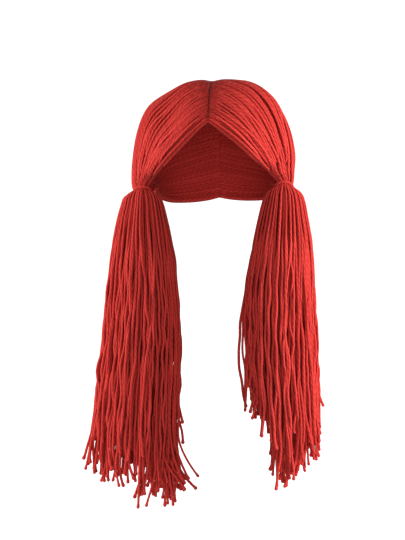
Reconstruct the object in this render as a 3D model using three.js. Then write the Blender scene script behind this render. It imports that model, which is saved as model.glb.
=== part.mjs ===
// A yarn wig with a centre part and two tied pigtails, for a head about 55 cm round.
// Millimetres, +Z up. The face opening looks towards -Y, and the wearer's left is +X.
// The origin is the spot inside the crown that rests on the top of the head.
// Strands run side by side from the part, over the head, to a tie beside each ear, and hang on
// below it as a pigtail. Each half of the crown is therefore one wall, swept along its strands.
import * as THREE from "three";

// Driving dimensions
const GAP = 0.3; // between neighbouring pieces
const YARN = 2.8; // diameter of the yarn wound round each neck
const WALL = 7; // thickness of the crown at the top of the head
const THICKENING = 2; // what the wall gains on its way to the gather, where strands crowd together

// The crown's outer form is a rounded dome about its middle, which lies on the widest level.
const FORM = {
  halfWidth: 100,
  front: 100,
  back: 104,
  rise: 108, // from the widest level up to the top
  drop: 78, // from the widest level down to where the lower half would close
  planPower: 2.1,
  risePower: 2.5,
  dropPower: 2,
};
const MIDDLE = new THREE.Vector3(0, 0, WALL - FORM.rise);

// The part runs in the plane x = 0, by its angle about the middle: 0 is the face, 90 the top.
const PART = { foreheadDeg: 27.2, napeDeg: 196 };
// dip: the valley beside the seam, from: where on the part it starts, as a share
const SEAM = { diameter: 1.2, dip: 2.4, from: 0.045, steps: 44, sides: 8 };
const VALLEY = 0.08; // share of a strand's way over which the crown rises out of that valley

// Strands at the forehead hang under the straight way over the dome, which narrows the face
// opening. left, right: how far, as a share of the dome, reach: how far along the part it goes on
const SAG = { left: 0.1, right: 0.13, reach: 0.45 };

// The neck of each pigtail, where the tie sits, lower on the wearer's right
const NECK = { x: 85, y: -20, leftZ: -121.8, rightZ: -126.3, radius: 9 };
const ARC_DEG = 120; // strands lie round the neck from -ARC_DEG, in front, to ARC_DEG, behind
const TIE = { turns: 1, steps: 36, bendSteps: 4 };

// How the crown gathers into the neck, from the mouth of the gather down through the tie.
// up: height above the tie, x, y: middle, x outwards, wide, deep: outer radius across and along y,
// flat: the side towards the head, from the middle, flatHalf: half the length of that flat side
const GATHER = [
  { up: 13, x: 79, y: -18, wide: 18.5, deep: 27, flat: 13, flatHalf: 10 },
  { up: 8, x: 82, y: -19, wide: 15.5, deep: 20, flat: 11.5, flatHalf: 7.5 },
  { up: 4.5, x: 84, y: -19.5, wide: 12.9, deep: 15, flat: 9.5, flatHalf: 5.5 },
  { up: 1.8, x: NECK.x, y: NECK.y, wide: NECK.radius, deep: NECK.radius, flat: 6.5, flatHalf: 3 },
  { up: -1.8, x: NECK.x, y: NECK.y, wide: NECK.radius, deep: NECK.radius, flat: 6.5, flatHalf: 3 },
];
// Strands from the nape reach the neck from below. drop: how much lower they pass the sections,
// as a share of their height over the tie, over: the height that stays, from: place along the part
const FROM_NAPE = { drop: 0.6, over: 1.8, from: 0.5 };
const GATHER_FROM = 0.45; // share of a strand's way where it starts to leave the dome
const BEND_FROM = 0.72; // share of its way where it bends down towards the mouth of the gather

// Grid of each half of the crown: across counts strands along the part, along counts steps
const CROWN_GRID = { across: 26, along: 17 };

// Folds between locks of yarn, and dents and swells in the crown's outline.
// side: +1 wearer's left, -1 right. part: place along the part, along: place on the strand,
// both from 0 to 1. depth: how far in, partReach and alongReach: how far it spreads
const DENTS = [
  { side: -1, part: 0, along: 0.72, depth: 9, partReach: 0.16, alongReach: 0.3 },
  { side: -1, part: 0.3, along: 0.33, depth: 4.2, partReach: 0.3, alongReach: 0.13 },
  { side: -1, part: 0.35, along: 0.58, depth: -1.6, partReach: 0.3, alongReach: 0.12 },
  { side: -1, part: 0.15, along: 0.5, depth: 2.4, partReach: 0.05, alongReach: 0.3 },
  { side: -1, part: 0.4, along: 0.62, depth: 2.4, partReach: 0.05, alongReach: 0.25 },
  { side: 1, part: 0, along: 0.72, depth: 9, partReach: 0.16, alongReach: 0.3 },
  { side: 1, part: 0.17, along: 0.45, depth: 2.4, partReach: 0.05, alongReach: 0.3 },
  { side: 1, part: 0.44, along: 0.45, depth: 2.4, partReach: 0.05, alongReach: 0.2 },
  { side: 1, part: 0.3, along: 0.3, depth: -2.4, partReach: 0.22, alongReach: 0.13 },
  { side: 1, part: 0.45, along: 0.78, depth: -1.8, partReach: 0.3, alongReach: 0.22 },
];

// Sections of each pigtail. down: distance below the tie, x: middle, outwards, y: middle,
// halfWidth, halfDepth. ends: how far below the tie the yarn is cut on the outer side,
// the inner side, and between them
const PIGTAILS = {
  left: {
    side: 1,
    ends: { outer: 320, inner: 272, between: 364 },
    sections: [
      { down: 2.1, x: 85, y: -20, halfWidth: 8.7, halfDepth: 8.7 },
      { down: 2.9, x: 85, y: -19.5, halfWidth: 13.5, halfDepth: 12 },
      { down: 5.5, x: 85, y: -18, halfWidth: 18.5, halfDepth: 15 },
      { down: 10, x: 85, y: -16, halfWidth: 22.5, halfDepth: 18.5 },
      { down: 19, x: 85, y: -14, halfWidth: 25.5, halfDepth: 22 },
      { down: 36, x: 84.5, y: -13, halfWidth: 30, halfDepth: 26 },
      { down: 58, x: 84, y: -13, halfWidth: 34.5, halfDepth: 29 },
      { down: 91, x: 82.5, y: -13, halfWidth: 39, halfDepth: 32 },
      { down: 144, x: 81, y: -14, halfWidth: 42, halfDepth: 34 },
      { down: 203, x: 82, y: -15, halfWidth: 44, halfDepth: 35 },
      { down: 261, x: 85.5, y: -16, halfWidth: 43, halfDepth: 34 },
      { down: 306, x: 89, y: -16, halfWidth: 41, halfDepth: 32 },
      { down: 338, x: 90, y: -16, halfWidth: 33, halfDepth: 27 },
    ],
  },
  right: {
    side: -1,
    ends: { outer: 345, inner: 368, between: 382 },
    sections: [
      { down: 2.1, x: 85, y: -20, halfWidth: 8.7, halfDepth: 8.7 },
      { down: 2.9, x: 85.5, y: -19.5, halfWidth: 13.5, halfDepth: 12 },
      { down: 5.5, x: 86, y: -18, halfWidth: 18.5, halfDepth: 15 },
      { down: 9, x: 86.5, y: -16, halfWidth: 21.5, halfDepth: 18 },
      { down: 15, x: 86.5, y: -14, halfWidth: 24, halfDepth: 21.5 },
      { down: 31.5, x: 87, y: -13, halfWidth: 28.5, halfDepth: 25 },
      { down: 53.5, x: 87, y: -13, halfWidth: 33, halfDepth: 28 },
      { down: 86.5, x: 87, y: -13, halfWidth: 38, halfDepth: 31 },
      { down: 139.5, x: 86.5, y: -14, halfWidth: 43.5, halfDepth: 34 },
      { down: 198.5, x: 89, y: -15, halfWidth: 48, halfDepth: 36 },
      { down: 256.5, x: 92.5, y: -16, halfWidth: 51, halfDepth: 38 },
      { down: 311.5, x: 95, y: -16, halfWidth: 54, halfDepth: 39 },
      { down: 365.5, x: 95, y: -16, halfWidth: 53, halfDepth: 37 },
    ],
  },
};
const PIGTAIL_SIDES = 30;

// Finishes
const YARN_RED = new THREE.MeshStandardMaterial({ color: 0xc8312e, roughness: 0.9, metalness: 0 });
const SEAM_RED = new THREE.MeshStandardMaterial({ color: 0x6e1a18, roughness: 0.95, metalness: 0 });

const { lerp, smoothstep, degToRad } = THREE.MathUtils;

// Distance from the middle to the crown's outer form along a unit direction.
function formRadius(direction) {
  const depth = direction.y < 0 ? FORM.front : FORM.back;
  const height = direction.z > 0 ? FORM.rise : FORM.drop;
  const power = direction.z > 0 ? FORM.risePower : FORM.dropPower;
  const plan =
    Math.abs(direction.x / FORM.halfWidth) ** FORM.planPower +
    Math.abs(direction.y / depth) ** FORM.planPower;
  const level = Math.abs(direction.z / height) ** power;
  return (plan ** (power / FORM.planPower) + level) ** (-1 / power);
}

// Unit direction from the middle to the part, at a share of its way from forehead to nape.
function partDirection(share) {
  const angle = degToRad(lerp(PART.foreheadDeg, PART.napeDeg, share));
  return new THREE.Vector3(0, -Math.cos(angle), Math.sin(angle));
}

// Unit direction between two others, by the share of the arc between them.
function turnedTowards(from, to, share) {
  const whole = from.angleTo(to);
  const start = from.clone().multiplyScalar(Math.sin((1 - share) * whole));
  const end = to.clone().multiplyScalar(Math.sin(share * whole));
  return start.add(end).normalize();
}

// Whether the part is sewn at a share of its way: from 0 at the forehead to 1 along the seam.
function sewn(share) {
  return smoothstep(share, 0.3 * SEAM.from, SEAM.from);
}

function neckHeight(side) {
  return side > 0 ? NECK.leftZ : NECK.rightZ;
}

// How far the crown lies under its plain form at a place on one side.
function dentDepth(side, part, along) {
  return DENTS.filter((dent) => dent.side === side).reduce((sum, dent) => {
    const across = (part - dent.part) / dent.partReach;
    const down = (along - dent.along) / dent.alongReach;
    return sum + dent.depth * Math.exp(-across * across - down * down);
  }, 0);
}

// The outer and inner point of one strand where it passes a section of the gather.
function gatherPoints(side, part, section) {
  const angle = degToRad(lerp(-ARC_DEG, ARC_DEG, part));
  const lowered = FROM_NAPE.drop * smoothstep(part, FROM_NAPE.from, 1);
  const z = neckHeight(side) + section.up - lowered * Math.max(section.up - FROM_NAPE.over, 0);
  const outer = new THREE.Vector3(
    side * (section.x + section.wide * Math.cos(angle)),
    section.y + section.deep * Math.sin(angle),
    z,
  );
  const flatY = section.y + section.flatHalf * lerp(-1, 1, part);
  const inner = new THREE.Vector3(side * (section.x - section.flat), flatY, z);
  return { outer, inner };
}

// The outer and inner point of one strand on the dome, drawn in towards the mouth of the gather.
function drawnPoints(side, part, along) {
  const mouth = gatherPoints(side, part, GATHER[0]);
  const sideways = side * lerp(GAP / 2, SEAM.diameter / 2 + GAP, sewn(part));
  const start = partDirection(part);
  start.setLength(formRadius(start)).setX(sideways).normalize();
  const end = mouth.outer.clone().sub(MIDDLE).normalize();
  const direction = turnedTowards(start, end, along);
  const low = side > 0 ? SAG.left : SAG.right;
  direction.z -= low * (1 - smoothstep(part, 0, SAG.reach)) * Math.sin(Math.PI * along);
  direction.normalize();
  const radius = formRadius(direction) - dentDepth(side, part, along);
  const valley = SEAM.dip * sewn(part) * (1 - smoothstep(along, 0, VALLEY));
  const eased = smoothstep(along, GATHER_FROM, 1);
  const onDome = (distance) => direction.clone().multiplyScalar(distance).add(MIDDLE);
  return {
    outer: onDome(radius - valley).lerp(mouth.outer, eased),
    inner: onDome(radius - WALL - THICKENING * along).lerp(mouth.inner, eased),
  };
}

// A point on the smooth bend between two places, which passes on through the places around them.
function bent(before, from, to, after, share) {
  const reach = from.distanceTo(to);
  const leaving = from.clone().sub(before).setLength(reach);
  const arriving = after.clone().sub(to).setLength(reach);
  const rest = 1 - share;
  return new THREE.Vector3()
    .addScaledVector(from, rest * rest * (1 + 2 * share))
    .addScaledVector(leaving, rest * rest * share)
    .addScaledVector(to, share * share * (3 - 2 * share))
    .addScaledVector(arriving, -share * share * rest);
}

// The outer and inner point of one strand between the part and the mouth of the gather.
function domePoints(side, part, along) {
  if (along <= BEND_FROM) {
    return drawnPoints(side, part, along);
  }
  const before = drawnPoints(side, part, BEND_FROM - 0.01);
  const from = drawnPoints(side, part, BEND_FROM);
  const mouth = gatherPoints(side, part, GATHER[0]);
  const after = gatherPoints(side, part, GATHER[1]);
  const share = (along - BEND_FROM) / (1 - BEND_FROM);
  return {
    outer: bent(before.outer, from.outer, mouth.outer, after.outer, share),
    inner: bent(before.inner, from.inner, mouth.inner, after.inner, share),
  };
}

// A closed solid through rings of points, each ring running round the section the same way.
// caps holds the triangles that close the first ring, as indices into it.
function loft(rings, caps) {
  const count = rings[0].length;
  const last = (rings.length - 1) * count;
  const index = [];
  for (let r = 0; r + 1 < rings.length; r++) {
    for (let i = 0; i < count; i++) {
      const a = r * count + i;
      const b = r * count + ((i + 1) % count);
      index.push(a, b, b + count, a, b + count, a + count);
    }
  }
  for (const [a, b, c] of caps) {
    index.push(a, c, b);
    index.push(last + a, last + b, last + c);
  }
  const geometry = new THREE.BufferGeometry().setFromPoints(rings.flat());
  geometry.setIndex(index);
  geometry.computeVertexNormals();
  return geometry;
}

// One half of the crown: the outside from forehead to nape and back along the inside, at each
// step from the part to the neck.
function crownHalf(side) {
  const { across, along } = CROWN_GRID;
  const ringOf = (pointsAt) => {
    const pairs = Array.from({ length: across + 1 }, (_, i) => pointsAt(i / across));
    const ring = [
      ...pairs.map((pair) => pair.outer),
      ...pairs.map((pair) => pair.inner).reverse(),
    ];
    return side > 0 ? ring.reverse() : ring;
  };
  const rings = [];
  for (let step = 0; step < along; step++) {
    rings.push(ringOf((part) => domePoints(side, part, step / along)));
  }
  for (const section of GATHER) {
    rings.push(ringOf((part) => gatherPoints(side, part, section)));
  }
  const caps = [];
  const end = 2 * across + 1;
  for (let i = 0; i < across; i++) {
    caps.push([i, i + 1, end - i - 1], [i, end - i - 1, end - i]);
  }
  return loft(rings, caps);
}

// One pigtail: its sections from the tie to the cut ends, which hang lower on some sides.
function pigtail({ side, sections, ends }) {
  const top = sections[0].down;
  const lowest = sections[sections.length - 1].down;
  const sway = (ends.outer - ends.inner) / 2;
  const hang = ((ends.outer + ends.inner) / 2 - ends.between) / 2;
  const middle = ends.between + hang;
  const rings = sections.map((section) =>
    Array.from({ length: PIGTAIL_SIDES }, (_, i) => {
      const angle = (-side * i * 2 * Math.PI) / PIGTAIL_SIDES;
      const cut = middle + sway * Math.cos(angle) + hang * Math.cos(2 * angle);
      const share = (section.down - top) / (lowest - top);
      return new THREE.Vector3(
        side * (section.x + section.halfWidth * Math.cos(angle)),
        section.y + section.halfDepth * Math.sin(angle),
        neckHeight(side) - lerp(top, cut, share),
      );
    }),
  );
  const caps = [];
  for (let i = 0; i < PIGTAIL_SIDES / 2 - 1; i++) {
    const back = PIGTAIL_SIDES - 1 - i;
    caps.push([i, i + 1, back]);
    if (i + 1 < back - 1) {
      caps.push([i + 1, back - 1, back]);
    }
  }
  return loft(rings, caps);
}

// The yarn wound round a neck: one ring whose outside shows its turns.
function tie() {
  const inside = NECK.radius + GAP;
  const low = (-TIE.turns * YARN) / 2;
  const profile = new THREE.Path().moveTo(inside, low);
  for (let turn = 0; turn < TIE.turns; turn++) {
    const mid = low + (turn + 0.5) * YARN;
    profile.absarc(inside + YARN / 2, mid, YARN / 2, -Math.PI / 2, Math.PI / 2, false);
  }
  profile.lineTo(inside, -low).lineTo(inside, low);
  const points = profile.getPoints(TIE.bendSteps);
  points[points.length - 1].copy(points[0]);
  return new THREE.LatheGeometry(points, TIE.steps).rotateX(Math.PI / 2);
}

// The sewn line along the part, sunk between the two halves of the crown.
function partSeam() {
  const line = Array.from({ length: SEAM.steps + 1 }, (_, i) => {
    const direction = partDirection(lerp(SEAM.from, 1, i / SEAM.steps));
    const depth = SEAM.dip + SEAM.diameter / 2;
    return direction.multiplyScalar(formRadius(direction) - depth).add(MIDDLE);
  });
  const section = new THREE.Shape().absarc(0, 0, SEAM.diameter / 2, 0, 2 * Math.PI);
  return new THREE.ExtrudeGeometry(section, {
    steps: SEAM.steps,
    curveSegments: SEAM.sides,
    extrudePath: new THREE.CatmullRomCurve3(line),
  });
}

function named(name, geometry, material) {
  const mesh = new THREE.Mesh(geometry, material);
  mesh.name = name;
  return mesh;
}

const wig = new THREE.Group();
wig.add(named("part_seam", partSeam(), SEAM_RED));
for (const [name, tail] of Object.entries(PIGTAILS)) {
  wig.add(named(`crown_${name}`, crownHalf(tail.side), YARN_RED));
  wig.add(named(`pigtail_${name}`, pigtail(tail), YARN_RED));
  const band = named(`tie_${name}`, tie(), YARN_RED);
  band.position.set(tail.side * NECK.x, NECK.y, neckHeight(tail.side));
  wig.add(band);
}

export default wig;
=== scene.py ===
# %% [markdown]
# # A yarn wig with two tied pigtails
#
# The real wig is nothing but yarn. Red strands are sewn side by side along a centre part, lie over
# the crown like the ribs of a fan, pass through a wound tie beside each ear, and hang on as a pigtail
# with cut ends. Every soft form in this lesson is therefore made of strands, never of a smooth skin.

# %% Load the measured parts
import math

import bpy
import numpy as np
from mathutils.bvhtree import BVHTree
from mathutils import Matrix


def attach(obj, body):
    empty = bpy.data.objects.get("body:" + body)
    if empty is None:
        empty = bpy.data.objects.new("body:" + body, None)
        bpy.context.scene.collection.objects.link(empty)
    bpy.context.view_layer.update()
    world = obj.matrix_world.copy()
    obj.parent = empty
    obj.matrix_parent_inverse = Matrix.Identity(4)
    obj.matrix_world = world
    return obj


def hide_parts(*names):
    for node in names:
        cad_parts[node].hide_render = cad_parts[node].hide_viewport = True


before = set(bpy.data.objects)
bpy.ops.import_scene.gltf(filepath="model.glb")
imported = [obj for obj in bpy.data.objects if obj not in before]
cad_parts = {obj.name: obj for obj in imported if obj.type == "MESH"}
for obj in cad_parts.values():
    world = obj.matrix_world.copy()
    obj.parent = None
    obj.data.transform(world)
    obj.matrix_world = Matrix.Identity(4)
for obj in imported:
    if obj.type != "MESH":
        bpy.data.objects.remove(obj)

scene = bpy.context.scene
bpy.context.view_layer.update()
print("measured parts:", sorted(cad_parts))

# %% [markdown]
# ## The camera
#
# The picture is a level portrait, taken at about half the wig's height and a little from the
# wearer's left. At the middle of the wig one pixel of the 405 by 540 picture is 1.22 mm, and that
# scale with the distance fixes the lens. A level camera needs no shift: it is moved sideways instead.

# %% Set up the camera
MM = 0.001
PICTURE_HEIGHT = 540
PIXEL_MM = 1.22
SENSOR_MM = 24.0
CAMERA = {"turn_deg": 5.0, "distance_mm": 1300.0, "height_mm": -222.9, "sideways_mm": -14.0}

turn = math.radians(CAMERA["turn_deg"])
rightward = np.array([math.cos(turn), math.sin(turn), 0.0])
backward = np.array([math.sin(turn), -math.cos(turn), 0.0])
upward = np.array([0.0, 0.0, 1.0])
camera_data = bpy.data.cameras.new("portrait_camera")
camera_data.sensor_fit = "VERTICAL"
camera_data.sensor_height = SENSOR_MM
camera_data.lens = SENSOR_MM * CAMERA["distance_mm"] / (PICTURE_HEIGHT * PIXEL_MM)
camera = bpy.data.objects.new("portrait_camera", camera_data)
camera.location = MM * (
    backward * CAMERA["distance_mm"] + rightward * CAMERA["sideways_mm"] + upward * CAMERA["height_mm"])
camera.rotation_euler = (math.radians(90), 0.0, turn)
scene.collection.objects.link(camera)
scene.camera = camera
print("lens", round(camera_data.lens, 1), "mm")

# %% [markdown]
# ## The pale floor
#
# A product picture has a white sweep: paper that curves up from the floor behind the object. This one
# turns up all round, so every view has it behind. It glows a little, casts no shadow and sends no light
# back, so gaps between strands stay deep. A flat floor in a white world is simpler, but its light from
# below washes the red out.

# %% Make the pale sweep
FLOOR_Z = -0.56
SWEEP = {"radius": 1.6, "bend": 0.9, "steps": 14, "top_z": 3.2, "sides": 64}
PAPER = {"white": 0.93, "roughness": 0.9, "glow": 0.95}

def pale_paper():
    """White paper that glows a little."""
    paper = bpy.data.materials.new("pale_paper")
    paper.use_nodes = True
    surface = paper.node_tree.nodes["Principled BSDF"].inputs
    surface["Base Color"].default_value = (PAPER["white"], PAPER["white"], PAPER["white"], 1)
    surface["Roughness"].default_value = PAPER["roughness"]
    surface["Emission Color"].default_value = (1, 1, 1, 1)
    surface["Emission Strength"].default_value = PAPER["glow"]
    return paper

def make_sweep():
    """A round floor that turns up into a wall on every side, as one bent sheet."""
    bend, sides = SWEEP["bend"], SWEEP["sides"]
    profile = [(SWEEP["radius"] + bend * math.sin(a), FLOOR_Z + bend * (1 - math.cos(a)))
               for a in np.linspace(0, math.pi / 2, SWEEP["steps"])]
    profile.append((SWEEP["radius"] + bend, SWEEP["top_z"]))
    corners = [(out * math.cos(a), out * math.sin(a), z)
               for out, z in profile for a in np.linspace(0, 2 * math.pi, sides, endpoint=False)]
    faces = [tuple(range(sides))]
    for row in range(len(profile) - 1):
        low, high = sides * row, sides * (row + 1)
        faces += [(low + k, high + k, high + (k + 1) % sides, low + (k + 1) % sides) for k in range(sides)]
    sheet = bpy.data.meshes.new("pale_sweep")
    sheet.from_pydata(corners, [], faces)
    sheet.polygons.foreach_set("use_smooth", [True] * len(faces))
    sheet.materials.append(pale_paper())
    sweep = bpy.data.objects.new("pale_sweep", sheet)
    scene.collection.objects.link(sweep)
    sweep.visible_diffuse = False
    sweep.visible_glossy = False
    sweep.visible_shadow = False
    return sweep

sweep = make_sweep()
print("sweep of", len(sweep.data.polygons), "faces")

# %% [markdown]
# ## The lamps
#
# Two large lamps beside the wig make the sides of the crown bright and leave its middle deeper. Blender
# can tell a lamp which pieces to light, and each side lamp lights only its own half here, so the inner
# sides of the pigtails stay deep red. Weak lamps in front and behind and a weak white world fill the
# rest. One large lamp over the camera is simpler, but flattens the strands.

# %% Hang the lamps
LAMPS = [
    # name, place and size in metres, power in watts
    ("lamp_left", (1.5, -0.42, -0.12), 1.0, 39.0),
    ("lamp_right", (-1.5, -0.44, -0.14), 1.0, 27.0),
    ("lamp_front", (0.1, -1.5, -0.35), 0.9, 10.0),
    ("lamp_back", (0.0, 1.4, 0.95), 0.9, 12.0),
]
LAMP_AIM = np.array([0.0, 0.0, -0.15])
WORLD_LIGHT = 0.26

def hang_lamp(name, place, size, power):
    """A square lamp that shines from its place towards the wig."""
    light = bpy.data.lights.new(name, "AREA")
    light.size = size
    light.energy = power
    lamp = bpy.data.objects.new(name, light)
    lamp.location = place
    towards = LAMP_AIM - np.array(place)
    tilt = math.acos(-towards[2] / np.linalg.norm(towards))
    lamp.rotation_euler = (tilt, 0.0, math.atan2(towards[1], towards[0]) - math.pi / 2)
    scene.collection.objects.link(lamp)
    return lamp

def lit_only_by(lamp):
    """A group for the only pieces that this lamp lights."""
    group = bpy.data.collections.new("lit_by_" + lamp.name)
    lamp.light_linking.receiver_collection = group
    return group

lamps = {row[0]: hang_lamp(*row) for row in LAMPS}
lit_by = {name: lit_only_by(lamps[name]) for name in ("lamp_left", "lamp_right")}
world = bpy.data.worlds.new("white_studio")
world.use_nodes = True
sky = world.node_tree.nodes["Background"].inputs
sky["Color"].default_value = (1, 1, 1, 1)
sky["Strength"].default_value = WORLD_LIGHT
scene.world = world
scene.view_settings.view_transform = "Standard"
print("lamps:", sorted(lamps))

# %% [markdown]
# ## The yarn's finish and painted shade
#
# The yarn looks like soft acrylic, three plies twisted together. A picture texture could show that, but
# it would smear where strands bend. Each strand instead carries its own place: how far round and how
# far along a point is. From those two the nodes draw the slanting plies, with painted shade in the
# grooves between them, and the fine fibres. Each strand also has a tone of its own, and a point that
# its neighbours hide gets a painted shade of deeper red.

# %% Draw the plies and fibres
PLIES = 3.0
FIBRES = {"round": 9.0, "along": 700.0, "detail": 3.0, "roughness": 0.6}
SHIFTS = {"plies": 40.0, "fibres": 50.0}

def reckon(tree, operation, *values):
    """One step of arithmetic: each value is a number or the socket it comes from."""
    made = tree.nodes.new("ShaderNodeMath")
    made.operation = operation
    for socket, value in zip(made.inputs, values):
        if isinstance(value, bpy.types.NodeSocket):
            tree.links.new(value, socket)
        else:
            socket.default_value = value
    return made.outputs[0]

def carried(tree, name, output):
    """What the strands carry under a name."""
    made = tree.nodes.new("ShaderNodeAttribute")
    made.attribute_name = name
    return made.outputs[output]

def ply_heights(tree, round_and_along, tone, ply_pitch):
    """Rounded ridges that wind along a strand, one for each ply."""
    cosine, sine, along = round_and_along
    angle = reckon(tree, "MULTIPLY", reckon(tree, "ARCTAN2", sine, cosine), PLIES)
    turned = reckon(tree, "MULTIPLY_ADD", along, 2 * math.pi / ply_pitch, angle)
    turned = reckon(tree, "MULTIPLY_ADD", tone, SHIFTS["plies"], turned)
    wave = reckon(tree, "MULTIPLY_ADD", reckon(tree, "SINE", turned), 0.5, 0.5)
    return reckon(tree, "SQRT", wave)

def fibre_heights(tree, round_and_along, tone):
    """Fine noise, different on every strand."""
    cosine, sine, along = round_and_along
    shifted = reckon(tree, "MULTIPLY", tone, SHIFTS["fibres"])
    place = tree.nodes.new("ShaderNodeCombineXYZ")
    tree.links.new(reckon(tree, "MULTIPLY", cosine, FIBRES["round"]), place.inputs[0])
    tree.links.new(reckon(tree, "MULTIPLY", sine, FIBRES["round"]), place.inputs[1])
    tree.links.new(reckon(tree, "MULTIPLY_ADD", along, FIBRES["along"], shifted), place.inputs[2])
    noise = tree.nodes.new("ShaderNodeTexNoise")
    noise.inputs["Scale"].default_value = 1.0
    noise.inputs["Detail"].default_value = FIBRES["detail"]
    noise.inputs["Roughness"].default_value = FIBRES["roughness"]
    tree.links.new(place.outputs[0], noise.inputs["Vector"])
    return noise.outputs["Fac"]

# %% Mix the yarn materials
LIGHTNESS = {"plies": 0.40, "fibres": 0.30, "tone": 0.36}
RAMP_AT = (0.15, 0.55, 0.95)
ROUGHNESS = {"least": 0.68, "fibres": 0.25}
BUMP = {"strength": 0.5, "height_m": 0.0005, "fibres": 0.5}
SHEEN = {"weight": 0.13, "roughness": 0.45}
SPECULAR = 0.12

def yarn_colour(tree, reds, plies, fibres, tone):
    """Reds from the grooves to the crests of the plies, the grooves as painted shade, and the deepest red
    as painted shade where strands are hidden.
    """
    lightness = reckon(tree, "MULTIPLY", fibres, LIGHTNESS["fibres"])
    # The plies' grooves are darker: painted shade, on top of the bump.
    lightness = reckon(tree, "MULTIPLY_ADD", plies, LIGHTNESS["plies"], lightness)
    lightness = reckon(tree, "MULTIPLY_ADD", tone, LIGHTNESS["tone"], lightness)
    ramp = tree.nodes.new("ShaderNodeValToRGB")
    groove, crest = ramp.color_ramp.elements
    groove.position, crest.position = RAMP_AT[0], RAMP_AT[2]
    groove.color, crest.color = (*reds[1], 1), (*reds[3], 1)
    ramp.color_ramp.elements.new(RAMP_AT[1]).color = (*reds[2], 1)
    tree.links.new(lightness, ramp.inputs["Fac"])
    # Painted shade: the deepest red wherever other strands hide the point.
    shaded = tree.nodes.new("ShaderNodeMixRGB")
    shaded.inputs["Color2"].default_value = (*reds[0], 1)
    tree.links.new(carried(tree, "strand_painted_shade", "Fac"), shaded.inputs["Fac"])
    tree.links.new(ramp.outputs["Color"], shaded.inputs["Color1"])
    return shaded.outputs["Color"]

def yarn_material(name, reds, ply_pitch, fuzz_tint):
    """Plied yarn: reds run from the painted shade of hidden places to the crests of plies, ply_pitch is the
    twist in metres.
    """
    material = bpy.data.materials.new(name)
    material.use_nodes = True
    tree = material.node_tree
    surface = tree.nodes["Principled BSDF"].inputs
    split = tree.nodes.new("ShaderNodeSeparateXYZ")
    tree.links.new(carried(tree, "strand_place", "Vector"), split.inputs[0])
    tone = carried(tree, "strand_tone_and_shade", "Fac")
    plies = ply_heights(tree, split.outputs, tone, ply_pitch)
    fibres = fibre_heights(tree, split.outputs, tone)
    tree.links.new(yarn_colour(tree, reds, plies, fibres, tone), surface["Base Color"])
    roughness = reckon(tree, "MULTIPLY_ADD", fibres, ROUGHNESS["fibres"], ROUGHNESS["least"])
    tree.links.new(roughness, surface["Roughness"])
    bump = tree.nodes.new("ShaderNodeBump")
    bump.inputs["Strength"].default_value = BUMP["strength"]
    bump.inputs["Distance"].default_value = BUMP["height_m"]
    tree.links.new(reckon(tree, "MULTIPLY_ADD", fibres, BUMP["fibres"], plies), bump.inputs["Height"])
    tree.links.new(bump.outputs["Normal"], surface["Normal"])
    surface["Sheen Weight"].default_value = SHEEN["weight"]
    surface["Sheen Roughness"].default_value = SHEEN["roughness"]
    surface["Sheen Tint"].default_value = (*fuzz_tint, 1)
    surface["Specular IOR Level"].default_value = SPECULAR
    return material

# The first red of each is painted shade between strands; the rest run from the ply grooves, painted darker,
# to the crests.
red_yarn = yarn_material(
    "red_yarn", [(0.31, 0.014, 0.012), (0.36, 0.018, 0.014), (0.60, 0.038, 0.030), (0.76, 0.064, 0.052)],
    ply_pitch=0.0075, fuzz_tint=(1.0, 0.32, 0.28))
seam_thread = yarn_material(
    "seam_thread", [(0.05, 0.004, 0.004), (0.08, 0.006, 0.006), (0.14, 0.010, 0.009), (0.20, 0.014, 0.012)],
    ply_pitch=0.0022, fuzz_tint=(0.8, 0.3, 0.26))
print("materials:", red_yarn.name, seam_thread.name)

# %% [markdown]
# ## Strands from arrays
#
# Blender can bevel a curve into a tube, but hundreds of curves are slow to edit and to export. Here
# all strands of a piece are rows of one array of points. A ring of corners is set round every point,
# and one mesh takes them all.

# %% Measure and divide strands
def unit(vectors):
    """The same directions with a length of 1."""
    return vectors / np.linalg.norm(vectors, axis=-1, keepdims=True)

def eased(value, low, high):
    """0 below low, 1 above high, and a smooth rise between."""
    share = np.clip((value - low) / (high - low), 0, 1)
    return share * share * (3 - 2 * share)

def lengths_along(points):
    """Distance from the start of each strand to its points."""
    steps = np.linalg.norm(np.diff(points, axis=1), axis=2)
    return np.concatenate([np.zeros((len(points), 1)), np.cumsum(steps, axis=1)], axis=1)

def in_steps(points, head, middle, tail):
    """The same strands, smoothed and cut into steps: head and tail are (mm, count) of closer ones."""
    inner = 0.25 * points[:, :-2] + 0.5 * points[:, 1:-1] + 0.25 * points[:, 2:]
    points = np.concatenate([points[:, :1], inner, points[:, -1:]], axis=1)
    walked = lengths_along(points)
    out = np.empty((len(points), head[1] + middle + tail[1], 3))
    for row, (strand, distance) in enumerate(zip(points, walked)):
        whole = distance[-1]
        wanted = np.concatenate([
            np.linspace(0, head[0], head[1], endpoint=False),
            np.linspace(head[0], whole - tail[0], middle, endpoint=False),
            np.linspace(whole - tail[0], whole, tail[1]),
        ])
        for axis in range(3):
            out[row, :, axis] = np.interp(wanted, distance, strand[:, axis])
    return out

def strand_frames(points, outward):
    """Two directions across each strand, the first as near to outward as can be."""
    along = unit(np.gradient(points, axis=1))
    across = unit(outward - along * np.sum(outward * along, axis=2, keepdims=True))
    return across, np.cross(along, across)

# %% [markdown]
# ## How hidden a point is
#
# Down between two strands the real yarn lies in shade, made deeper by fuzz that swallows the light.
# Smooth tubes would send too much back, so that shade is painted into the colour. Each corner of the
# mesh looks outwards along a few short rays, and keeps how soon they meet other strands, and there the
# material paints a deeper red. A shader node could do that while it renders, but what a mesh carries
# can also be exported.

# %% Look out from between the strands
LOOK_DEG = (-72, -48, -24, 0, 24, 48, 72)
LOOK_FAR = 9.0
LOOK_LIFT = 0.05
# How hidden a corner is when its painted shade starts and when it is full.
PAINTED_SHADE_RAMP = (0.12, 0.95)

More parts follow.
